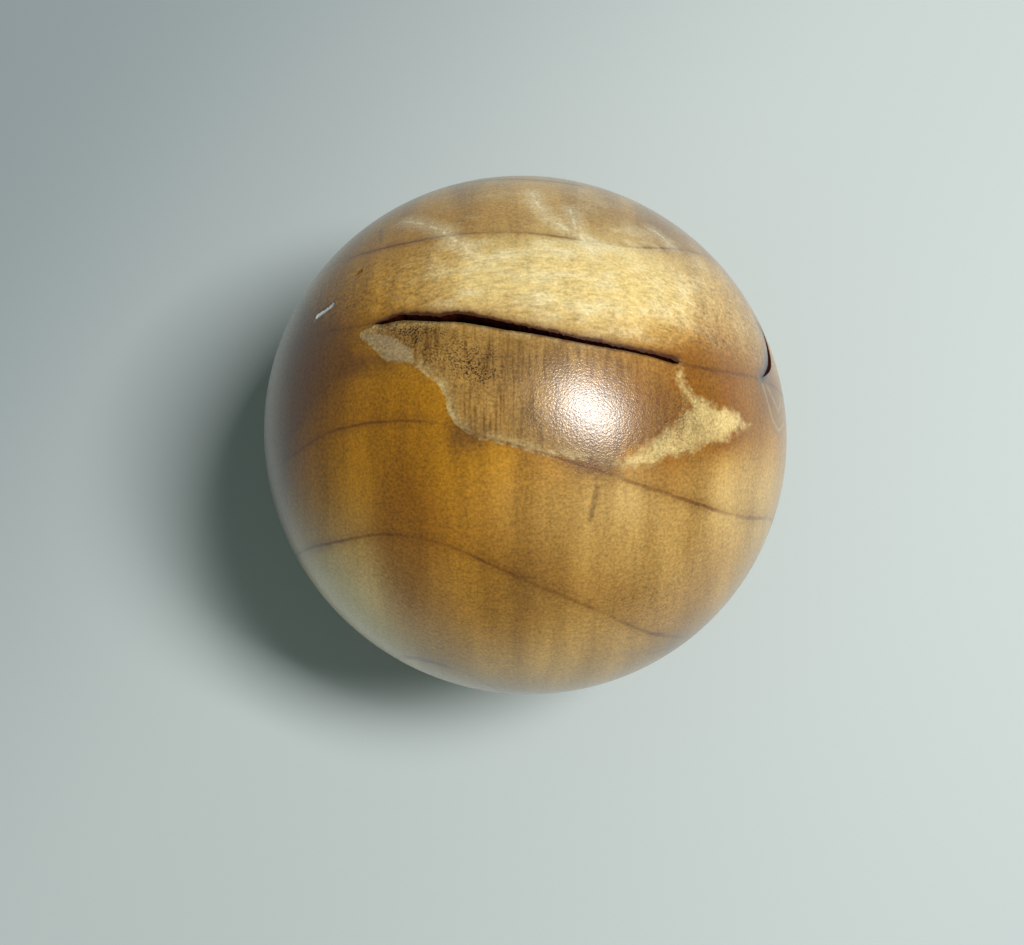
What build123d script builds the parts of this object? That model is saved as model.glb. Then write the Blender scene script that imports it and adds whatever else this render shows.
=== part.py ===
"""Turned wooden ball, split by a drying crack along one growth ring.

One solid piece of wood. Millimetres, +Z up, origin at the ball's centre.
The ball was turned round and has shrunk a little more across the grain than
along it, so it is a spheroid whose long axis is the grain direction.
"""

import os

from build123d import *

# --- the ball ---------------------------------------------------------------
length_along_grain = 60.6  # long axis
width_across_grain = 59.6  # short axis, also the height that it stands
grain_turn = -30.6  # degrees about +Z, from +X to the grain direction

# --- the drying crack, open at the upper side -------------------------------
crack_length = 31.1  # tip to tip
crack_opening = 1.0  # widest gap between its walls, at the surface
crack_root_opening = 0.35  # the same gap at the root
crack_depth = 7.5  # from the surface to the root, at mid length
crack_lean = -20.3  # degrees about +X: the crack's middle faces +Z and +Y
crack_turn = -8.0  # degrees about the crack's own outward direction

# Stations along the crack: place as a share of its length, sideways drift of
# its middle line in mm, and opening as a share of the widest.
crack_stations = [
    (-0.42, 0.20, 0.85),
    (-0.30, 0.05, 0.70),
    (-0.22, 0.16, 1.00),
    (-0.07, -0.38, 0.90),
    (0.12, -0.76, 0.50),
    (0.30, -0.60, 0.40),
    (0.44, -0.06, 0.60),
]
crack_tip_drift = (-0.13, 0.08)  # sideways drift of the -X and the +X tip

# --- the bark seam, a crescent groove on the +X side ------------------------
seam_chord = 12.6  # tip to tip
seam_opening = 1.3  # widest, at mid length
seam_bow = 2.1  # of its middle line, sideways from the chord
seam_depth = 1.2  # below the surface, at mid length
seam_outward = Vector(0.866, 0.348, 0.360)  # from the ball's centre
seam_along = Vector(0.008, 0.690, -0.723)  # from its upper tip to its lower tip

# --- worked out -------------------------------------------------------------
cut_clearance = 0.5  # how far each cutter starts above the surface
half_length = length_along_grain / 2
half_width = width_across_grain / 2
grain_plane = Plane.XY.rotated((0, 0, grain_turn))
crack_plane = Plane(Location((0, 0, 0), (crack_lean, 0, crack_turn)))

along_grain = grain_plane.x_dir.dot(seam_outward.normalized())
seam_radius = 1 / (
    (along_grain / half_length) ** 2 + (1 - along_grain**2) / half_width**2
) ** 0.5  # distance from the ball's centre to its surface at the seam
seam_plane = Plane(
    origin=seam_outward.normalized() * seam_radius,
    x_dir=seam_along,
    z_dir=seam_outward,
)


def crack_wall(opening, side):
    """Points of one wall's edge, tip to tip; side is +1 or -1."""
    first_tip = (-crack_length / 2, crack_tip_drift[0])
    last_tip = (crack_length / 2, crack_tip_drift[1])
    between = [
        (place * crack_length, drift + side * share * opening / 2)
        for place, drift, share in crack_stations
    ]
    return [first_tip, *between, last_tip]


with BuildPart() as ball:
    # the turned form: half an ellipse, in two quarters, spun about the grain
    with BuildSketch(grain_plane):
        with BuildLine():
            for start in (0, 90):
                EllipticalCenterArc(
                    (0, 0), half_length, half_width, start_angle=start, arc_size=90
                )
            Line((-half_length, 0), (half_length, 0))
        make_face()
    revolve(axis=Axis(grain_plane.origin, grain_plane.x_dir))

    # the crack: a lens-shaped mouth that narrows to its root
    crack_levels = [
        (half_width + cut_clearance, crack_opening),
        (half_width - crack_depth, crack_root_opening),
    ]
    for height, opening in crack_levels:
        with BuildSketch(crack_plane.offset(height)):
            with BuildLine():
                Spline(*crack_wall(opening, +1))
                Spline(*crack_wall(opening, -1))
            make_face()
    loft(mode=Mode.SUBTRACT)

    # the bark seam: a crescent between two arcs
    with BuildSketch(seam_plane.offset(cut_clearance)):
        with BuildLine():
            tips = [(-seam_chord / 2, 0), (seam_chord / 2, 0)]
            for reach in (seam_bow - seam_opening / 2, seam_bow + seam_opening / 2):
                ThreePointArc(tips[0], (0, -reach), tips[1])
        make_face()
    extrude(amount=-(cut_clearance + seam_depth), mode=Mode.SUBTRACT)

ball.part.label = "ball"

os.makedirs("parts", exist_ok=True)
export_step(ball.part, "parts/ball.step")
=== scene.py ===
"""Turned wooden ball with an open drying crack, lying on a pale table.

Laid out as an add-on and run as a script. The settings are in metres, and the
ball's own map of rings, stains and figure is in millimetres.
"""

from math import cos, radians, sin, sqrt

import bmesh
import bpy
import numpy as np
from bpy.props import FloatProperty, FloatVectorProperty, PointerProperty
from bpy.types import NodeSocket, Operator, Panel, PropertyGroup
from mathutils import Matrix, Vector, noise


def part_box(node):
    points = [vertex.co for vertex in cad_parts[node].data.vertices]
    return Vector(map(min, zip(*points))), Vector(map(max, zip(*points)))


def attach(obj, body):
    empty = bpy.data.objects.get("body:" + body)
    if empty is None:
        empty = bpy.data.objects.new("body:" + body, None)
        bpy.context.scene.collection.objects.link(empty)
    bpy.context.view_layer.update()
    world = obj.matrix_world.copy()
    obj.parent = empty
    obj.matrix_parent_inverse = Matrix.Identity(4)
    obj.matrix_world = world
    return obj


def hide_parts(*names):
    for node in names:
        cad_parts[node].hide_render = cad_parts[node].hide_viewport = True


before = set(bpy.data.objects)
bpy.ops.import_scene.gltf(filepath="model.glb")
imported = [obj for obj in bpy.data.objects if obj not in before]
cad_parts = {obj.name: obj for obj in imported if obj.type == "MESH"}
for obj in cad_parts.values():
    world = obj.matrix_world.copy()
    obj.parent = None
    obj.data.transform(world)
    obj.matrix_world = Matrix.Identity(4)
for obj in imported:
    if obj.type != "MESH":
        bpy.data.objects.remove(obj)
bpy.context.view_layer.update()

bl_info = {
    "name": "Wooden Ball",
    "version": (1, 0, 0),
    "blender": (4, 5, 0),
    "location": "View3D > Sidebar > Wooden Ball",
    "description": "A turned and varnished wooden ball, split by a drying crack",
    "category": "Object",
}

MM = 0.001  # metres in a millimetre

# --- the turned form, from the ball's own box -------------------------------
LONG_AXIS_TURN = radians(-30.6)
BALL_LOW, BALL_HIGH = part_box("ball")
SHORT_RADIUS = (BALL_HIGH.z - BALL_LOW.z) / 2
LONG_RADIUS = sqrt(
    ((BALL_HIGH.x - BALL_LOW.x) / 2) ** 2 - (SHORT_RADIUS * sin(LONG_AXIS_TURN)) ** 2
) / cos(LONG_AXIS_TURN)

# --- the drying crack, in its own frame: along, across, outwards -------------
CRACK_FRAME = (
    Matrix.Rotation(radians(-20.3), 4, "X") @ Matrix.Rotation(radians(-8.0), 4, "Z")
)
CRACK_UPPER_EDGE = (
    (-15.6, -0.1), (-13.8, 0.45), (-12.9, 0.78), (-11.4, 0.6), (-8.8, 0.4), (-7.1, 0.72),
    (-4.1, 0.3), (0.1, -0.25), (5.4, -0.55), (9.5, -0.42), (12.1, -0.1), (14.6, 0.27),
    (15.5, 0.1),
)
CRACK_LOWER_EDGE = (
    (-15.6, -0.2), (-14.8, -0.45), (-12.5, -0.16), (-9.4, -0.3), (-6.4, -0.4),
    (-2.1, -0.86), (3.4, -1.0), (7.5, -0.98), (9.6, -0.77), (12.2, -0.5), (14.9, -0.4),
    (15.5, -0.1),
)
CRACK_ROOT = 22.3  # out from the ball's centre, mm
CRACK_ROOT_SHARE = 0.35  # gap at the root, as a share of the gap at the mouth
CUTTER_TOP = 30.6  # just clear of the surface, mm

# --- the bark seam, a crescent groove at the right ---------------------------
SEAM_OUT = Vector((0.866, 0.348, 0.360)).normalized()
SEAM_ALONG = Vector((0.008, 0.690, -0.723))
SEAM_HALF_CHORD = 6.3
SEAM_BOW = 2.1
SEAM_OPENING = 1.3
SEAM_DEPTH = 1.2

# --- growth rings: (across x, height up the sheets) of four dark lines, mm -----
RING_TILT = 0.17  # the sheets lean this much in y for each mm of z
RING_BEND = 0.006  # and bend this much towards the far side
RING_LINES = (
    ((-14, 16.5), (-7, 16.9), (0, 16.7), (6, 15.9), (11, 15.6), (20, 18)),
    ((-22, 7.3), (-17, 6.9), (-10, 7.3), (-6, 6.3), (0, 4.8), (7, 3.5), (18, 2.3), (25, 3.1)),
    ((-24.5, -5.7), (-22, -4), (-16, -3.5), (-10, -3.9), (-3, -6.2), (4, -8.1),
     (11, -10.1), (18, -11.6), (23, -12.3), (28, -10.7)),
    ((-19, -14.8), (-14, -14.4), (-8, -15.9), (-1.5, -19), (6, -21.8), (13, -24.4),
     (18, -24.2)),
)
RING_STEP_ABOVE = 9.6
RING_STEP_BELOW = 11.7

# --- outlines on the crack's side, in the crack's frame, mm --------------------
STAIN_OUTLINE = (
    (-17.6, -0.8), (-14.5, -3.7), (-13.2, -4.7), (-11.4, -4.6), (-8.9, -6.2), (-7.8, -6.9),
    (-6.9, -8.8), (-5.7, -10.6), (-3.1, -11.8), (3, -12.4), (8.9, -12.2), (12.6, -9.4),
    (14.4, -7.4), (17.1, -3.9), (16.3, -3), (15, -2.6), (15.5, -0.8), (15.7, 0.2),
    (5, -0.5), (-2, -0.5), (-8, 0.2), (-14, 0.1),
)
LICK_OUTLINE = (
    (15.3, 0.2), (16.2, 0.2), (16.1, -1.3), (17.2, -2.3), (19.2, -2.6), (22, -2), (24.2, -2.4),
    (22.4, -4.6), (18.8, -7.9), (14.8, -10.5), (11.4, -12.2), (8.9, -12.4), (12.6, -9.6),
    (14.6, -7.3), (17.1, -3.9), (15.2, -2.7),
)
CHALK_OUTLINE = (
    (-17.6, -0.8), (-13.8, -1.3), (-11.5, -2.8), (-9.6, -5.4), (-11.4, -4.5), (-13.2, -4.6),
    (-16.1, -2.1),
)

# --- fine features, as lines over the surface, mm ------------------------------
# bright wisps of painted sheen, where the fibres turn over and throw light back
SHEEN_WISP_LINES = (
    ((-13, 22.7, 14.8), (-10.2, 21.7, 18.1), (-8.9, 20.9, 19.5), (-6.8, 19.2, 21.9),
     (-5.6, 18.1, 23.1)),
    ((4.6, 23.4, 18), (5.2, 20.8, 20.9), (6.1, 19.3, 21.9), (6.8, 18.2, 22.7)),
    ((13.7, 21.6, 15.3), (14.7, 20.8, 15.4), (15.4, 19.8, 16.1)),
    ((0.6, 25.6, 15.2), (1.2, 23.9, 17.9), (2.4, 22.2, 19.8), (4.2, 20.9, 20.9)),
)
BARK_LINES = (
    ((25.9, 12.1, 8.6), (26.5, 10.1, 9), (26.6, 9.2, 9.6), (26.4, 8.1, 11.3),
     (25.7, 6.3, 13.9), (25.2, 5.8, 15)),
)
VEIN_LINES = (
    ((25.3, 5.1, 15.2), (26, 3, 14.6), (26.6, 1.4, 13.9), (27.5, 0.3, 12.1), (28.5, 1, 9.4),
     (29, 2.7, 7.3)),
    ((25.9, 5.1, 14.2), (27, 3.4, 12.7), (27.6, 2.4, 11.6), (28.1, 3.2, 10.2), (28.2, 4, 9.6)),
)
CHIP_LINES = (((-22.2, 12.3, 16.1), (-20.5, 13.4, 17.5)),)
CHIP_TAIL_LINES = (((-22.6, 11.8, 16.1), (-22.2, 12.3, 16.1)),)
PIN_LINES = (((-17.9, 16.7, 17.5), (-17.5, 17, 17.7)),)
STREAK_LINES = (
    ((6.9, -5.7, 28.5), (6.2, -9, 27.8)),
    ((-15.7, 22, 13.1), (-15.5, 20.2, 16)),
)

# --- broad tones on the crack's side: (x, y), (reach in x, reach in y), amount --
# Pale tones are partly the sapwood's own cream and partly painted sheen: the ones high on the
# ball, strongest at (4, 17.6), stand in for the fibres' soft glow.
PALE_AND_SHEEN_TONES = (
    ((4, 17.6), (8, 3), 1.1), ((11, 14.5), (6, 3.5), 0.65), ((-3, 13), (6, 3), 0.6),
    ((19, 12), (4, 4), 0.2), ((27, -12), (4, 6), 0.25), ((8, -21), (8, 5), 0.25),
    ((6, 11), (5, 3), 0.45), ((3, 26), (10, 3), 0.3), ((2, -8), (5, 3), 0.15),
    ((13, -11), (8, 5), 0.35), ((22, -6), (4, 3), 0.4), ((-22, -18), (6, 5), 0.95),
    ((-6, -27), (10, 3), 0.3),
    ((25, 10), (3, 3), 0.25), ((10, -6.5), (3, 2), 0.3), ((-16, -21), (5, 4), 0.5),
)
AMBER_TONES = (
    ((-12.5, -10), (2, 7), 1.0), ((-24, 4), (5, 7), 0.4), ((-18, 3), (5, 4), 0.25),
    ((19, 6), (4, 3), 1.1), ((18.5, -0.2), (3.5, 1.6), 0.9), ((-16, -9), (8, 7), 0.1),
    ((14, 1.5), (5, 4), 0.8), ((9, 6), (3, 2.5), 0.3), ((-10, -19), (4, 3), 0.35),
    ((-27, -6), (4, 10), 0.5), ((8, -17), (5, 2), 0.35), ((14, -5.5), (1.4, 2.5), 0.4),
    ((22, 1), (2.5, 1.4), 0.3), ((-9, -13), (5, 5), 0.2), ((-5, -9), (5, 3), 0.25),
    ((4, -13), (4, 3), 0.15), ((-22, 9), (4, 3), 0.5), ((27, 6), (2, 4), 0.45),
)
# Plum is partly a real purple-brown stain and partly painted shade: the ovals at the far left
# edge, from x -24.5 to -28.5, darken that side of the ball.
PLUM_AND_SHADE_TONES = (
    ((-21, 6.8), (6, 0.8), 0.8), ((0, -16), (2.5, 4), 0.35), ((-24.5, 8), (3.5, 4), 1.2),
    ((7, -3.6), (1.6, 0.7), 0.7), ((17, -24), (3.5, 1.2), 0.6), ((-27, 5), (2.2, 6), 1.0),
    ((14, 1), (2.5, 2), 0.35), ((-28.5, -6), (1.6, 9), 0.8), ((26.5, 4), (1.2, 2), 0.4),
    ((-2, 6), (3, 1.5), 0.3), ((-13, 9.5), (3, 1), 0.3), ((-5.9, -0.8), (1.6, 1), 0.7),
    ((16, 22), (5, 2), 0.35), ((6, 23), (5, 1.6), 0.2), ((-4, 21), (5, 1.8), 0.2),
)
SPECK_TONES = (
    ((-13, 9.6), (2.6, 1), 1.0), ((-4.8, 6), (1.6, 1.2), 1.0), ((-9, 8), (3.5, 1.6), 0.6),
    ((13, -18), (4, 3), 0.35), ((0, 3), (8, 4), 0.25), ((15, 1), (2, 3), 0.5),
)


def linear(colour):
    """An sRGB hex colour as linear RGBA."""
    parts = [int(colour[i : i + 2], 16) / 255 for i in (0, 2, 4)]
    return [c / 12.92 if c <= 0.04045 else ((c + 0.055) / 1.055) ** 2.4 for c in parts] + [1.0]


class BallSettings(PropertyGroup):
    """What a user would change on the ball."""

    gold: FloatVectorProperty(
        name="Gold", description="Main colour of the wood", subtype="COLOR",
        size=4, default=linear("BE8208"), min=0, max=1,
    )
    amber: FloatVectorProperty(
        name="Amber", description="Deep orange-brown of the heart", subtype="COLOR",
        size=4, default=linear("8F5500"), min=0, max=1,
    )
    # also the colour of the painted sheen that the pale tones lay high on the ball
    cream: FloatVectorProperty(
        name="Cream", description="Palest sapwood", subtype="COLOR",
        size=4, default=linear("ECCD87"), min=0, max=1,
    )
    # also the colour of the painted shade that the plum tones lay at the ball's far left edge
    plum: FloatVectorProperty(
        name="Plum", description="Purple-brown stain", subtype="COLOR",
        size=4, default=linear("54301A"), min=0, max=1,
    )
    ring_line: FloatProperty(
        name="Ring line", description="Half the width of a dark growth line",
        default=0.2 * MM, min=0.05 * MM, max=2 * MM, subtype="DISTANCE", unit="LENGTH",
    )
    speckle: FloatProperty(
        name="Speckle", description="Size of the fine light and dark fleck in the wood",
        default=0.3 * MM, min=0.1 * MM, max=3 * MM, subtype="DISTANCE", unit="LENGTH",
    )
    tear: FloatProperty(
        name="Tear", description="How far the crack's torn upper wall wanders",
        default=0.11 * MM, min=0.0, max=1 * MM, subtype="DISTANCE", unit="LENGTH",
    )


class StageSettings(PropertyGroup):
    """What a user would change around the ball."""

    table: FloatVectorProperty(
        name="Table", description="Colour of the table top", subtype="COLOR",
        size=4, default=linear("C6CECC"), min=0, max=1,
    )
    lamp_power: FloatProperty(
        name="Lamp", description="Power of the lamp above the table", default=5.9, min=0.0,
        unit="POWER",
    )
    camera_height: FloatProperty(
        name="Camera height", description="From the ball's centre", default=0.180, min=0.1,
        subtype="DISTANCE", unit="LENGTH",
    )


# --- small helpers ------------------------------------------------------------
def add(tree, kind, inputs=None, out=0, **settings):
    """Add a node, set and link its inputs, and give back one of its outputs."""
    node = tree.nodes.new(kind)
    for name, value in settings.items():
        setattr(node, name, value)
    for name, value in (inputs or {}).items():
        if isinstance(value, NodeSocket):
            tree.links.new(value, node.inputs[name])
        else:
            node.inputs[name].default_value = value
    return node.outputs[out]


def new_object(name, bm):
    """A mesh object at the origin, made from a bmesh."""
    mesh = bpy.data.meshes.new(name)
    bm.to_mesh(mesh)
    bm.free()
    thing = bpy.data.objects.new(name, mesh)
    bpy.context.scene.collection.objects.link(thing)
    return thing


# --- distances over the ball, all in mm ----------------------------------------
FAR_OFF = 50.0  # further than anything on the ball, mm
TONE_FADE = (-13, 5)  # broad tones fade out between these heights, mm


def line_distance(points, lines):
    """How far each point is from the nearest of some broken lines."""
    nearest = np.full(len(points), np.inf)
    for line in lines:
        for start, end in zip(line, line[1:]):
            start, end = np.array(start, float), np.array(end, float)
            run = end - start
            share = np.clip((points - start) @ run / (run @ run), 0, 1)
            gap = np.linalg.norm(points - start - share[:, None] * run, axis=1)
            nearest = np.minimum(nearest, gap)
    return nearest


def outline_depth(points, outline):
    """How far inside a closed outline each point is; negative when outside."""
    closed = outline + outline[:1]
    inside = np.zeros(len(points), bool)
    for (x1, y1), (x2, y2) in zip(closed, closed[1:]):
        between = (points[:, 1] < y1) != (points[:, 1] < y2)
        if y1 != y2:
            crossing = x1 + (points[:, 1] - y1) / (y2 - y1) * (x2 - x1)
            inside ^= between & (points[:, 0] < crossing)
    edge = line_distance(points, [closed])
    return np.where(inside, edge, -edge)


def tone(points, blobs):
    """Soft ovals of a broad tone, added up, fading out towards the hidden side."""
    total = np.zeros(len(points))
    for (x, y), (reach_x, reach_y), amount in blobs:
        spread = ((points[:, 0] - x) / reach_x) ** 2 + ((points[:, 1] - y) / reach_y) ** 2
        total += amount * np.exp(-spread / 2)
    lowest, highest = TONE_FADE
    fade = np.clip((points[:, 2] - lowest) / (highest - lowest), 0, 1)
    return total * fade * fade * (3 - 2 * fade)


def smooth_line(x, line):
    """The height of a ring line at each x, with its corners rounded off."""
    nearby = np.linspace(-2.5, 2.5, 9)
    return sum(np.interp(x + step, *zip(*line)) for step in nearby) / len(nearby)


def ring_number(points):
    """Which growth ring each point is in: whole numbers lie on the dark lines."""
    x, y, z = points.T
    height = y - RING_TILT * z + RING_BEND * np.minimum(z, 0) ** 2
    sheets = [smooth_line(x, line) for line in RING_LINES]
    sheets = [sheets[0] + 2 * RING_STEP_ABOVE, sheets[0] + RING_STEP_ABOVE, *sheets]
    sheets += [sheets[-1] - RING_STEP_BELOW, sheets[-1] - 2 * RING_STEP_BELOW]
    number = np.full(len(points), 0.0)
    for index, (upper, lower) in enumerate(zip(sheets, sheets[1:])):
        share = (upper - height) / (upper - lower)
        number = np.where(share >= 0, index + np.clip(share, 0, 1), number)
    return number


def ball_shape():
    """From a unit ball to the turned form, in metres."""
    turn = Matrix.Rotation(LONG_AXIS_TURN, 4, "Z")
    stretch = Matrix.Diagonal((LONG_RADIUS, SHORT_RADIUS, SHORT_RADIUS, 1))
    return turn @ stretch @ turn.inverted()


def crack_fields(crack):
    """How far each point in the crack's frame is from its upper and lower edge."""
    upper = np.interp(crack[:, 0], *zip(*CRACK_UPPER_EDGE))
    lower = np.interp(crack[:, 0], *zip(*CRACK_LOWER_EDGE))
    beyond = np.maximum(np.abs(crack[:, 0]) - CRACK_UPPER_EDGE[-1][0], 0)
    above = np.hypot(np.maximum(crack[:, 1] - upper, 0), beyond)
    under = np.hypot(np.maximum(lower - crack[:, 1], 0), beyond)
    facing = crack[:, 2] > 0
    over = crack[:, 1] > (upper + lower) / 2
    return {
        "gape_above": np.where(facing & over, above, FAR_OFF),
        "gape_below": np.where(facing & ~over, under, FAR_OFF),
    }


def surface_map(thing):
    """Write the ball's rings, stains and tones on its points, and return their names."""
    mesh = thing.data
    points = np.empty(len(mesh.vertices) * 3)
    mesh.vertices.foreach_get("co", points)
    points = points.reshape(-1, 3)
    unit = np.array(ball_shape().inverted().to_3x3())
    below = (1 - np.linalg.norm(points @ unit.T, axis=1)) * SHORT_RADIUS / MM
    points = points / MM
    # the chip and the pin hole are shallow and open, and get none of the painted shade that
    # blackens the crack's walls with depth
    below[line_distance(points, CHIP_LINES + PIN_LINES) < 1] = 0
    crack = points @ np.array(CRACK_FRAME.to_3x3())
    fields = {"ring": ring_number(points), "below": below, **crack_fields(crack)}
    for name, outline in (
        ("stain", STAIN_OUTLINE), ("cream_lick", LICK_OUTLINE), ("chalk", CHALK_OUTLINE),
    ):
        depth = outline_depth(crack[:, :2], outline)
        fields[name] = np.where(crack[:, 2] > 0, depth, -FAR_OFF)
    for name, lines in (
        ("sheen_wisp", SHEEN_WISP_LINES), ("vein", VEIN_LINES), ("bark", BARK_LINES),
        ("chip", CHIP_LINES), ("tail", CHIP_TAIL_LINES), ("pin", PIN_LINES),
        ("streak", STREAK_LINES),
    ):
        fields[name] = line_distance(points, lines)
    for name, blobs in (
        ("pale", PALE_AND_SHEEN_TONES), ("amber", AMBER_TONES), ("plum", PLUM_AND_SHADE_TONES),
        ("specks", SPECK_TONES),
    ):
        fields[name] = tone(points, blobs)
    for name, values in fields.items():
        layer = mesh.attributes.new(name, "FLOAT", "POINT")
        layer.data.foreach_set("value", values.astype(np.float32))
    return list(fields)


# --- the ball's mesh ------------------------------------------------------------
def near_fine_feature(point, reach):
    """Whether a point in mm is close enough to a fine line to need small faces."""
    fine = SHEEN_WISP_LINES + VEIN_LINES + CHIP_LINES + PIN_LINES + CHIP_TAIL_LINES
    return line_distance(point, fine) < reach


def turned_form():
    """The ball before it split, with smaller faces along its fine lines."""
    bm = bmesh.new()
    bmesh.ops.create_icosphere(bm, subdivisions=7, radius=1.0)
    for reach in (1.3, 0.7):
        points = np.array([v.co for v in bm.verts]) * SHORT_RADIUS / MM
        close = near_fine_feature(points, reach)
        bm.verts.index_update()
        edges = [e for e in bm.edges if close[e.verts[0].index] or close[e.verts[1].index]]
        bmesh.ops.subdivide_edges(bm, edges=edges, cuts=1, use_grid_fill=True)
        bmesh.ops.triangulate(bm, faces=[f for f in bm.faces if len(f.verts) > 3])
        for vert in bm.verts:
            vert.co.normalize()
    bm.transform(ball_shape())
    return bm


def chip_out(bm):
    """Press the small chip and the pin hole into the surface."""
    points = np.array([v.co for v in bm.verts]) / MM
    marks = ((CHIP_LINES, 0.34, 0.22), (PIN_LINES, 0.3, 0.3))
    for lines, half_width, depth in marks:
        gap = line_distance(points, lines) / half_width
        for vert, share in zip(bm.verts, gap):
            if share < 1:
                vert.co -= vert.co.normalized() * depth * MM * (1 - share**2)


SLIT_STEPS, SLIT_LEVELS = 150, 16  # faces along and down a wall
LEAST_HALF_GAP = 0.02  # at a slit's pointed ends, mm
LEAST_WALL_GAP = 0.01  # keeps torn walls from crossing, mm
CLEAN_SHARE = 0.25  # how rough the lower wall is beside the torn upper one
ROOT_WANDER = 0.35  # how far the root strays from under the mouth, mm
TEAR_NOISE = (0.5, 2.3, 4)  # roughness, lacunarity and octaves of the tearing


def slit(along, upper, lower, top, root, root_share, tear):
    """A thin cutter: one sheet, extruded to a second, and both spread to the walls."""
    bm = bmesh.new()
    bmesh.ops.create_grid(bm, x_segments=SLIT_STEPS, y_segments=SLIT_LEVELS, size=1.0)
    made = bmesh.ops.extrude_face_region(bm, geom=bm.faces[:])
    far_wall = {v for v in made["geom"] if isinstance(v, bmesh.types.BMVert)}
    first, last = along
    for vert in bm.verts:
        place = (vert.co.x + 1) / 2
        drop = (1 - vert.co.y) / 2
        x = first + (last - first) * place
        high = np.interp(x, *zip(*upper))
        low = np.interp(x, *zip(*lower))
        middle = (high + low) / 2
        half = max((high - low) / 2, LEAST_HALF_GAP) * (1 - (1 - root_share) * drop)
        rough = noise.fractal(Vector((x * 2.9, drop * 6, 7)), *TEAR_NOISE)
        if vert in far_wall:
            y = middle + max(half + rough * tear, LEAST_WALL_GAP)
        else:
            y = middle - max(half - rough * tear * CLEAN_SHARE, LEAST_WALL_GAP)
        wander = ROOT_WANDER * drop * noise.noise(Vector((x * 0.25, drop * 2, 3)))
        vert.co = Vector((x, y + wander, top + (root - top) * drop))
    bmesh.ops.recalc_face_normals(bm, faces=bm.faces[:])
    return bm


def crack_cutter(tear):
    """The cutter for the drying crack, in its place on the ball."""
    bm = slit(
        (CRACK_UPPER_EDGE[0][0], CRACK_UPPER_EDGE[-1][0]), CRACK_UPPER_EDGE,
        CRACK_LOWER_EDGE, CUTTER_TOP, CRACK_ROOT, CRACK_ROOT_SHARE, tear,
    )
    bm.transform(Matrix.Scale(MM, 4) @ CRACK_FRAME)
    return new_object("crack_cutter", bm)


def seam_cutter(tear):
    """The cutter for the bark seam, bowed to one side."""
    places = np.linspace(-SEAM_HALF_CHORD, SEAM_HALF_CHORD, 13)
    bow = 1 - (places / SEAM_HALF_CHORD) ** 2
    upper = list(zip(places, -bow * (SEAM_BOW - SEAM_OPENING / 2)))
    lower = list(zip(places, -bow * (SEAM_BOW + SEAM_OPENING / 2)))
    bm = slit(
        (-SEAM_HALF_CHORD, SEAM_HALF_CHORD), upper, lower, 0.5, -SEAM_DEPTH, 0.6, tear * 0.5
    )
    across = SEAM_OUT.cross(SEAM_ALONG)
    reach = 1 / (ball_shape().inverted().to_3x3() @ SEAM_OUT).length
    place = Matrix((SEAM_ALONG, across, SEAM_OUT)).transposed().to_4x4()
    place.translation = SEAM_OUT * reach
    bm.transform(place @ Matrix.Scale(MM, 4))
    return new_object("seam_cutter", bm)


def cut(thing, cutter):
    """Take a cutter out of a piece for good, and remove the cutter."""
    modifier = thing.modifiers.new("cut", "BOOLEAN")
    modifier.operation = "DIFFERENCE"
    modifier.solver = "EXACT"
    modifier.object = cutter
    bpy.context.view_layer.update()
    graph = bpy.context.evaluated_depsgraph_get()
    whole = bpy.data.meshes.new_from_object(thing.evaluated_get(graph))
    if not whole.polygons:
        raise RuntimeError(f"cutting {cutter.name} out of {thing.name} left nothing")
    thing.modifiers.clear()
    thing.data = whole
    bpy.data.objects.remove(cutter)


# --- the ball's material ----------------------------------------------------------
# Noise in the wood: its stretch along x, y and z, the size of its features in mm, its
# detail, and a shift that keeps it apart from the others.
WOOD_NOISES = {
    "upright": ((1, 0.16, 0.16), 3.2, 1, 0),  # soft figure across the rings
    "grain": ((1, 0.1, 0.1), 0.5, 3, 40),  # fine upright streaks
    "cloud": ((1, 1, 1), 7, 3, 11),  # broad patches
    "torn": ((1, 1, 1), 1.1, 6, 5),  # ragged edges
    "ripple": ((0.3, 1, 1), 0.36, 2, 8),  # short level ripples
    "shimmer": ((0.45, 1, 1), 2.2, 2, 31),  # soft level streaks of light
    # Real pores are about 0.1 mm wide, too fine to show, so they are drawn coarser.
    "dots": ((1, 1, 1), 0.2, 1, 21),
}
NOISE_ROUGHNESS = 0.6

# An edge that wanders: the map it follows, and how far it wanders in mm.
RAGGED_EDGES = {
    "stain_edge": ("stain", 0.91), "chalk_edge": ("chalk", 0.91),
    "lick_edge": ("cream_lick", 2.34), "sheen_wisp_edge": ("sheen_wisp", 0.52),
    "dark_rim_above": ("gape_above", 0.78), "dark_rim_below": ("gape_below", 0.26),
    "bark_edge": ("bark", 0.78), "vein_edge": ("vein", 0.65), "chip_edge": ("chip", 0.78),
}
RING_WOBBLE = 0.03  # how far the ring lines wander, in rings

# Broad tones, which clouds carry on to the hidden side: the map, the cloud where there is
# none and all of it, how much, whether it stops at full, what breaks it up, least share.
BROAD_TONES = (
    ("amber", 0.5, 0.85, 0.7, True, "upright", 0.45),
    ("pale", 0.5, 0.15, 0.6, False, "upright", 0.45),
    ("plum", 0.5, 0.85, 0.15, False, "torn", 0.5),
)

# How much each noise darkens and lightens the wood, as a share of the fleck.
WAVE_SHARE, UPRIGHT_SHARE, GRAIN_SHARE = 0.85, 0.35, 0.25
DARKEST, LIGHTEST = 0.3, 1.74

# Sanded hardwood is dull, and the clear coat gives it a soft highlight.
VARNISH = {
    "Roughness": 0.4, "IOR": 1.5, "Specular IOR Level": 0.25, "Coat Weight": 1.0,
    "Coat Roughness": 0.23, "Coat IOR": 1.5,
}
PORE_DEPTH = 0.03 * MM


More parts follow.
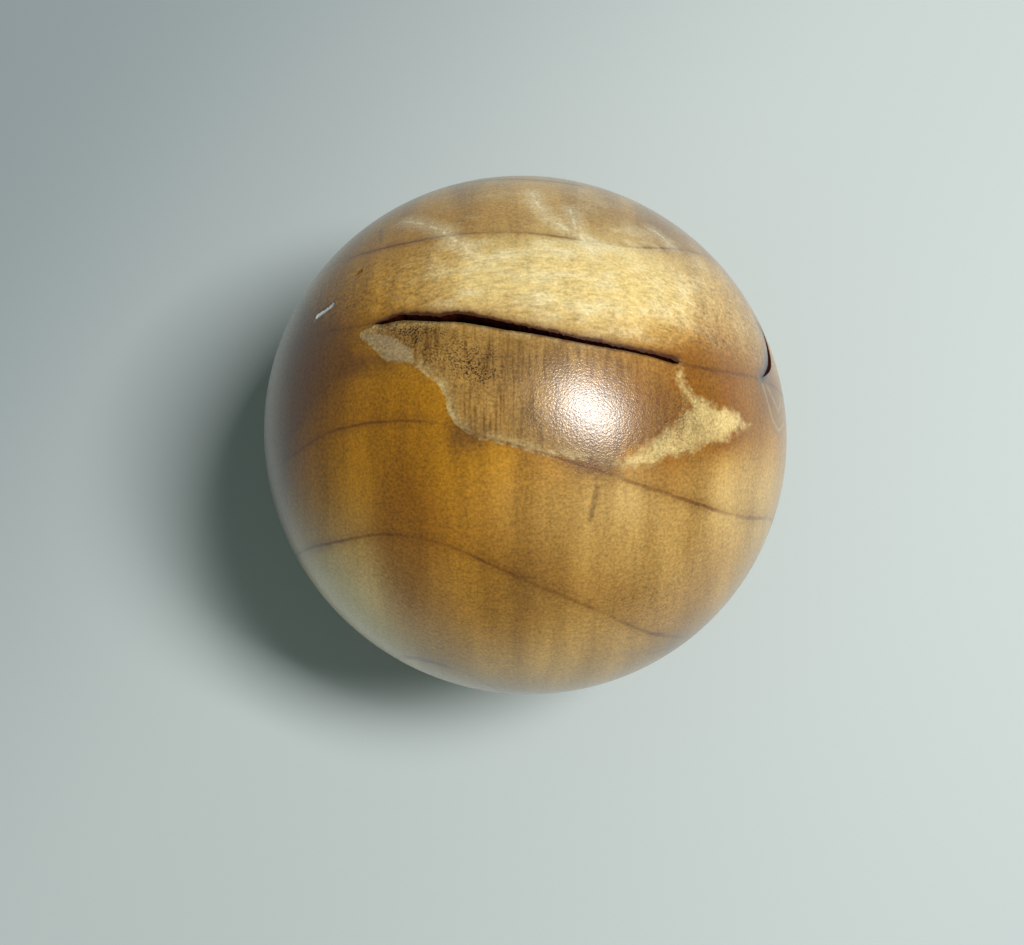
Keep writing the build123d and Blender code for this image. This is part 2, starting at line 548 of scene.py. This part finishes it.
def wood_maps(tree, settings, names):
    """What the coats are placed by: the ball's own maps, its noises and ragged edges."""
    place = add(tree, "ShaderNodeTexCoord", out="Object")
    mm = add(tree, "ShaderNodeMapping", {"Vector": place, "Scale": (1 / MM,) * 3})
    wood = {
        name: add(tree, "ShaderNodeAttribute", attribute_name=name, out="Fac")
        for name in names
    }
    for name, axis in (("x", 0), ("z", 2)):
        wood[name] = add(tree, "ShaderNodeSeparateXYZ", {"Vector": mm}, out=axis)
    # Real fleck is finer than the default too, and is drawn as coarse as it needs to show.
    noises = {**WOOD_NOISES, "fleck": ((1, 1, 1), settings.speckle / MM, 2, 3)}
    for name, (stretch, size, detail, shift) in noises.items():
        stretched = add(tree, "ShaderNodeMapping", {
            "Vector": mm, "Scale": stretch, "Location": (shift, shift, shift),
        })
        wood[name] = add(tree, "ShaderNodeTexNoise", {
            "Vector": stretched, "Scale": 1 / size, "Detail": detail,
            "Roughness": NOISE_ROUGHNESS,
        })
    jitter = add(tree, "ShaderNodeMath", {0: wood["torn"], 1: 0.5}, operation="SUBTRACT")
    edges = {**RAGGED_EDGES, "ring": ("ring", RING_WOBBLE)}
    for name, (source, wander) in edges.items():
        wood[name] = add(
            tree, "ShaderNodeMath", {0: jitter, 1: wander, 2: wood[source]},
            operation="MULTIPLY_ADD",
        )
    wood["phase"] = add(tree, "ShaderNodeMath", {0: wood["ring"]}, operation="FRACT")
    wood["to_line"] = add(
        tree, "ShaderNodeMath", {0: wood["ring"], 1: 0.5}, operation="PINGPONG"
    )
    return wood


def shown(tree, wood, strength, *masks):
    """How strongly a coat shows: its strength times each of its masks.

    A mask is the name of a map, or (map, where it is none, where it is full).
    """
    for mask in masks:
        if isinstance(mask, str):
            value = wood[mask]
        else:
            name, none, full = mask
            value = add(
                tree, "ShaderNodeMapRange",
                {"Value": wood[name], "From Min": none, "From Max": full},
                interpolation_type="SMOOTHSTEP",
            )
        strength = add(tree, "ShaderNodeMath", {0: value, 1: strength}, operation="MULTIPLY")
    return strength


def lay(tree, wood, under, *coats):
    """Lay coats of colour over a colour, each (colour, strength, masks...)."""
    for colour, *masks in coats:
        amount = shown(tree, wood, *masks)
        under = add(
            tree, "ShaderNodeMix", {0: amount, 6: under, 7: colour}, out=2, data_type="RGBA"
        )
    return under


def spread_tones(tree, wood):
    """Carry the broad tones on to the hidden side, and break them up."""
    hidden = shown(tree, wood, 1.0, ("z", 4, -8))
    for name, none, full, share, stops, breaker, least in BROAD_TONES:
        patches = add(
            tree, "ShaderNodeMath", {0: shown(tree, wood, 1.0, ("cloud", none, full)), 1: hidden},
            operation="MULTIPLY",
        )
        amount = add(
            tree, "ShaderNodeMath", {0: patches, 1: share, 2: wood[name]},
            operation="MULTIPLY_ADD", use_clamp=stops,
        )
        broken = add(tree, "ShaderNodeMath", {0: wood[breaker], 1: least}, operation="ADD")
        wood[name] = add(
            tree, "ShaderNodeMath", {0: amount, 1: broken}, operation="MULTIPLY",
            use_clamp=True,
        )
    kept = add(
        tree, "ShaderNodeMath", {0: wood["amber"], 1: -0.8, 2: 1.0}, operation="MULTIPLY_ADD"
    )
    wood["pale"] = add(
        tree, "ShaderNodeMath", {0: wood["pale"], 1: kept}, operation="MULTIPLY"
    )
    most = add(
        tree, "ShaderNodeMath", {0: wood["upright"], 1: 0.5, 2: 0.35},
        operation="MULTIPLY_ADD",
    )
    wood["plum"] = add(
        tree, "ShaderNodeMath", {0: wood["plum"], 1: most}, operation="MINIMUM"
    )


def ground(tree, wood, settings):
    """Gold, deepened to amber and lightened to cream, the cream partly painted sheen high on the
    ball.
    """
    return lay(
        tree, wood, linear("AB7204"),
        (settings.gold, 1.0, ("upright", 0.3, 0.75)),
        (settings.amber, 1.0, "amber"),
        (settings.cream, 1.0, "pale"),
    )


def late_wood(tree, wood, settings, under):
    """The shade that a growth ring ends in, without its thin dark line."""
    return lay(
        tree, wood, under,
        (linear("7A4806"), 0.45, ("to_line", 0.1, 0.0), ("cloud", 0.2, 0.8)),
        (settings.amber, 0.18, ("phase", 0.6, 1.0)),
    )


def stained_patch(tree, wood, settings, under):
    """Grey-brown with streaks, cream at its torn left edge and chalky at its tip."""
    stain = lay(
        tree, wood, linear("B88A43"),
        (linear("80581C"), 1.0, ("grain", 0.4, 0.7)),
        (linear("7A5410"), 0.5, ("cloud", 0.4, 0.7)),
        (settings.amber, 0.6, "amber"),
    )
    return lay(
        tree, wood, under,
        (stain, 1.0, ("stain_edge", 0.0, 0.12)),
        (linear("CDAE72"), 1.0, ("stain_edge", 0.0, 0.12), ("x", 10, 4),
         ("stain_edge", 1.5, 0.05), ("torn", 0.35, 0.6)),
        (linear("BFA376"), 0.85, ("chalk_edge", 0.0, 0.35)),
        (linear("E2C37E"), 1.0, ("lick_edge", -0.2, 1.0), ("cloud", 0.1, 0.5)),
    )


def dark_lines(tree, wood, settings, under):
    """Plum stain, with painted shade at the ball's far left edge, the growth rings' thin dark
    lines, and two short streaks.
    """
    half = settings.ring_line / MM / 10  # in rings, which are about 10 mm wide
    return lay(
        tree, wood, under,
        (settings.plum, 1.0, "plum"),
        (linear("6A3A0A"), 0.75, ("to_line", half, half * 0.3), ("cloud", 0.2, 0.75)),
        (linear("5A3410"), 0.5, ("streak", 0.5, 0.1)),
    )


def painted_fibre_sheen(tree, wood, under):
    """Painted sheen: bright wisps where the fibres turn over, and soft painted light in the
    palest wood.
    """
    # the wisps and the soft streaks are painted sheen, light thrown back by the fibres
    wisp = shown(tree, wood, 0.85, ("sheen_wisp_edge", 0.5, 0.0), ("torn", 0.3, 0.65))
    glow = shown(tree, wood, 0.3, ("sheen_wisp_edge", 1.9, 0.1))
    wood["painted_wisps"] = add(tree, "ShaderNodeMath", {0: wisp, 1: glow}, operation="MAXIMUM")
    return lay(
        tree, wood, under,
        (linear("FFEFC4"), 1.0, "painted_wisps"),
        (linear("FFEFC0"), 0.5, ("shimmer", 0.45, 0.72), ("ring", 3.0, 2.85), "pale"),
    )


def pores(tree, wood, under):
    """Dark pores where the specks are, but not in the chalky tip."""
    dots = shown(tree, wood, 1.0, ("dots", 0.48, 0.6))
    wood["pores"] = add(
        tree, "ShaderNodeMath", {0: dots, 1: wood["specks"]}, operation="MULTIPLY",
        use_clamp=True,
    )
    return lay(
        tree, wood, under,
        (linear("2E1A08"), 1.0, "pores", ("chalk", 0.9, -0.4), ("torn", 0.3, 0.55)),
    )


def fleck(tree, wood, under):
    """Darken and lighten the wood finely, with level ripples in its pale band."""
    centred = {
        name: add(tree, "ShaderNodeMath", {0: wood[name], 1: 0.5}, operation="SUBTRACT")
        for name in ("fleck", "ripple", "upright", "grain")
    }
    band = shown(tree, wood, 1.0, ("ring", 2.05, 2.3), ("ring", 2.98, 2.8))
    band = add(tree, "ShaderNodeMath", {0: band, 1: 0.35}, operation="ADD")
    waves = add(
        tree, "ShaderNodeMath", {0: centred["ripple"], 1: band}, operation="MULTIPLY"
    )
    shade = centred["fleck"]
    for part, share in (
        (waves, WAVE_SHARE), (centred["upright"], UPRIGHT_SHARE),
        (centred["grain"], GRAIN_SHARE),
    ):
        shade = add(
            tree, "ShaderNodeMath", {0: part, 1: share, 2: shade}, operation="MULTIPLY_ADD"
        )
    calmer = add(
        tree, "ShaderNodeMath", {0: wood["pale"], 1: -0.4, 2: 1.0}, operation="MULTIPLY_ADD"
    )
    shade = add(tree, "ShaderNodeMath", {0: shade, 1: calmer}, operation="MULTIPLY")
    brightness = add(tree, "ShaderNodeMapRange", {
        "Value": shade, "From Min": -0.5, "From Max": 0.5, "To Min": DARKEST,
        "To Max": LIGHTEST,
    })
    return add(
        tree, "ShaderNodeVectorMath", {0: under, 1: brightness}, operation="MULTIPLY"
    )


def breaks(tree, wood, under):
    """The crack's darker edges and its walls, which painted shade turns black deeper down, the
    bark, its knot, the chip with its painted glint and shadow, and the pin.
    """
    return lay(
        tree, wood, under,
        # darker edge, wider and torn above the crack
        (linear("6A3A06"), 0.6, ("dark_rim_above", 1.2, 0.1)),
        (linear("4A2204"), 1.0, ("dark_rim_above", 0.45, 0.1)),
        (linear("4A2A0C"), 0.7, ("dark_rim_below", 0.3, 0.02)),
        # bark, and the vein round the knot beside it
        (linear("6E5A5E"), 1.0, ("bark", 1.9, 0.3), ("torn", 0.3, 0.6)),
        (linear("1B1A24"), 1.0, ("bark_edge", 0.6, 0.2)),
        (linear("8A6A48"), 0.5, ("vein_edge", 1.6, 0.4), ("cloud", 0.2, 0.7)),
        (linear("DCC48C"), 0.45, ("vein_edge", 0.4, 0.0), ("torn", 0.25, 0.6)),
        # chip, with a painted shadow round it and a painted glint in it, its tail and the pin
        # hole
        (linear("56402A"), 0.8, ("chip_edge", 0.6, 0.3)),
        (linear("E4E4DE"), 1.0, ("chip_edge", 0.34, 0.2)),
        (linear("8C8474"), 0.7, ("tail", 0.25, 0.05)),
        (linear("3A3420"), 1.0, ("pin", 0.4, 0.15)),
        # walls, red-brown at the mouth, and painted shade that turns them black deeper down
        (linear("4E1C06"), 1.0, ("below", 0.02, 0.1)),
        (linear("080302"), 1.0, ("below", 0.2, 1.8)),
    )


def varnished_hardwood(settings, names):
    """Turned, sanded and varnished hardwood.

    Gives the eye a warm golden ground with soft upright figure, thin dark growth
    lines, a torn cream-edged stain, pores, and a clear coat's soft highlight.
    """
    material = bpy.data.materials.new("turned_varnished_hardwood")
    material.use_nodes = True
    tree = material.node_tree
    shader = tree.nodes["Principled BSDF"]
    wood = wood_maps(tree, settings, names)
    spread_tones(tree, wood)
    colour = ground(tree, wood, settings)
    for layer in (late_wood, stained_patch, dark_lines):
        colour = layer(tree, wood, settings, colour)
    for layer in (painted_fibre_sheen, pores, fleck, breaks):
        colour = layer(tree, wood, colour)
    tree.links.new(colour, shader.inputs["Base Color"])
    for name, value in VARNISH.items():
        shader.inputs[name].default_value = value
    relief = add(
        tree, "ShaderNodeBump",
        {"Height": wood["dots"], "Strength": 0.8, "Distance": PORE_DEPTH},
    )
    for name in ("Normal", "Coat Normal"):
        tree.links.new(relief, shader.inputs[name])
    return material


class MESH_OT_wooden_ball(Operator):
    """Make the turned wooden ball with its crack, bark seam, chip and pin hole"""

    bl_idname = "mesh.wooden_ball"
    bl_label = "Wooden ball"

    def execute(self, context):
        settings = context.scene.wooden_ball
        bm = turned_form()
        chip_out(bm)
        ball = new_object("wooden_ball", bm)
        tear = settings.tear / MM
        cut(ball, crack_cutter(tear))
        cut(ball, seam_cutter(tear))
        mesh = ball.data
        mesh.name = "wooden_ball"
        mesh.shade_smooth()
        mesh.set_sharp_from_angle(angle=radians(35))
        names = surface_map(ball)
        mesh.materials.clear()
        mesh.materials.append(varnished_hardwood(settings, names))
        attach(ball, "root")
        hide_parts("ball")
        return {"FINISHED"}


# --- the stage ---------------------------------------------------------------------
TABLE_RADIUS = 0.6
LAMP_LEAN = Vector((0.485, 0.19, 1.0))  # towards the lamp, for each metre up
LAMP_ALONG = Vector((-0.88, 0.47, 0.0))
LAMP_HEIGHT = 0.7
LAMP_HALF_LONG, LAMP_HALF_SHORT = 0.22, 0.11  # as shares of the height
CAMERA_LENS, CAMERA_SENSOR = 54.07, 36  # mm
CAMERA_OFFSET = (-1.52 * MM, -4.27 * MM)
FILL_COLOUR, FILL_STRENGTH = linear("E2FFF9"), 0.17


def painted_table(settings):
    """Smooth painted table top: pale and even, with painted shade that darkens it faintly towards
    one side.
    """
    material = bpy.data.materials.new("smooth_painted_table")
    material.use_nodes = True
    tree = material.node_tree
    shader = tree.nodes["Principled BSDF"]
    place = add(tree, "ShaderNodeTexCoord", out="Object")
    turned = add(
        tree, "ShaderNodeMapping",
        {
            "Vector": place, "Location": (0.5, 0.5, 0), "Rotation": (0, 0, radians(43)),
            "Scale": (5.5, 5.5, 5.5),
        },
    )
    # painted shade: the table darkens towards one side where the light falls off
    share = add(tree, "ShaderNodeTexGradient", {"Vector": turned}, out="Fac")
    colour = linear("98A2A4")
    for first, last, next_colour in (
        (0.0, 0.5, settings.table), (0.5, 1.0, linear("D0D8D6")),
    ):
        amount = add(
            tree, "ShaderNodeMapRange",
            {"Value": share, "From Min": first, "From Max": last},
            interpolation_type="SMOOTHSTEP",
        )
        colour = add(
            tree, "ShaderNodeMix", {0: amount, 6: colour, 7: next_colour}, out=2,
            data_type="RGBA",
        )
    tree.links.new(colour, shader.inputs["Base Color"])
    shader.inputs["Roughness"].default_value = 0.6
    return material


def make_table(settings):
    """A round table top under the ball, far wider than what is seen of it."""
    bm = bmesh.new()
    bmesh.ops.create_circle(bm, cap_ends=True, segments=180, radius=TABLE_RADIUS)
    bmesh.ops.translate(bm, verts=bm.verts, vec=(0, 0, BALL_LOW.z))
    table = new_object("table_top", bm)
    table.data.materials.append(painted_table(settings))


def make_lamp(settings):
    """One long soft lamp, high on the right."""
    out = LAMP_LEAN.normalized()
    along = (LAMP_ALONG - out * LAMP_ALONG.dot(out)).normalized()
    light = bpy.data.lights.new("table_lamp", "AREA")
    light.shape = "RECTANGLE"
    light.size = 2 * LAMP_HALF_LONG * LAMP_HEIGHT
    light.size_y = 2 * LAMP_HALF_SHORT * LAMP_HEIGHT
    light.energy = settings.lamp_power
    lamp = bpy.data.objects.new("table_lamp", light)
    lamp.location = LAMP_LEAN * LAMP_HEIGHT
    lamp.rotation_mode = "QUATERNION"
    lamp.rotation_quaternion = Matrix((along, out.cross(along), out)).transposed().to_quaternion()
    bpy.context.scene.collection.objects.link(lamp)


def make_camera(settings):
    """Straight above the ball, a little off its middle."""
    camera = bpy.data.objects.new("camera", bpy.data.cameras.new("camera"))
    camera.data.lens = CAMERA_LENS
    camera.data.sensor_width = CAMERA_SENSOR
    camera.data.clip_start = 0.01
    camera.data.clip_end = 10
    camera.location = (*CAMERA_OFFSET, settings.camera_height)
    bpy.context.scene.collection.objects.link(camera)
    bpy.context.scene.camera = camera


def make_room():
    """Weak even light from all round, faintly green."""
    world = bpy.data.worlds.new("room")
    world.use_nodes = True
    tree = world.node_tree
    fill = tree.nodes["Background"]
    fill.inputs["Color"].default_value = FILL_COLOUR
    fill.inputs["Strength"].default_value = FILL_STRENGTH
    seen = add(tree, "ShaderNodeLightPath", out="Is Camera Ray")
    wall = add(tree, "ShaderNodeBackground", {"Color": linear("AEB7B4"), "Strength": 1.0})
    both = add(tree, "ShaderNodeMixShader", {0: seen, 1: fill.outputs[0], 2: wall})
    tree.links.new(both, tree.nodes["World Output"].inputs["Surface"])
    bpy.context.scene.world = world
    bpy.context.scene.view_settings.view_transform = "Standard"


class SCENE_OT_ball_stage(Operator):
    """Make the table top, the lamp, the camera and the room's light"""

    bl_idname = "scene.ball_stage"
    bl_label = "Table, lamp and camera"

    def execute(self, context):
        settings = context.scene.ball_stage
        make_table(settings)
        make_lamp(settings)
        make_camera(settings)
        make_room()
        return {"FINISHED"}


class VIEW3D_PT_wooden_ball(Panel):
    """The ball's and the stage's buttons and settings."""

    bl_label = "Wooden Ball"
    bl_space_type = "VIEW_3D"
    bl_region_type = "UI"
    bl_category = "Wooden Ball"

    def draw(self, context):
        for operator, group in (
            (MESH_OT_wooden_ball, context.scene.wooden_ball),
            (SCENE_OT_ball_stage, context.scene.ball_stage),
        ):
            self.layout.operator(operator.bl_idname)
            for name in group.__annotations__:
                self.layout.prop(group, name)


CLASSES = (
    BallSettings, StageSettings, MESH_OT_wooden_ball, SCENE_OT_ball_stage,
    VIEW3D_PT_wooden_ball,
)


def register():
    for each in CLASSES:
        bpy.utils.register_class(each)
    bpy.types.Scene.wooden_ball = PointerProperty(type=BallSettings)
    bpy.types.Scene.ball_stage = PointerProperty(type=StageSettings)


def unregister():
    del bpy.types.Scene.ball_stage
    del bpy.types.Scene.wooden_ball
    for each in reversed(CLASSES):
        bpy.utils.unregister_class(each)


def main():
    register()
    bpy.ops.mesh.wooden_ball()
    bpy.ops.scene.ball_stage()


if __name__ == "__main__":
    main()
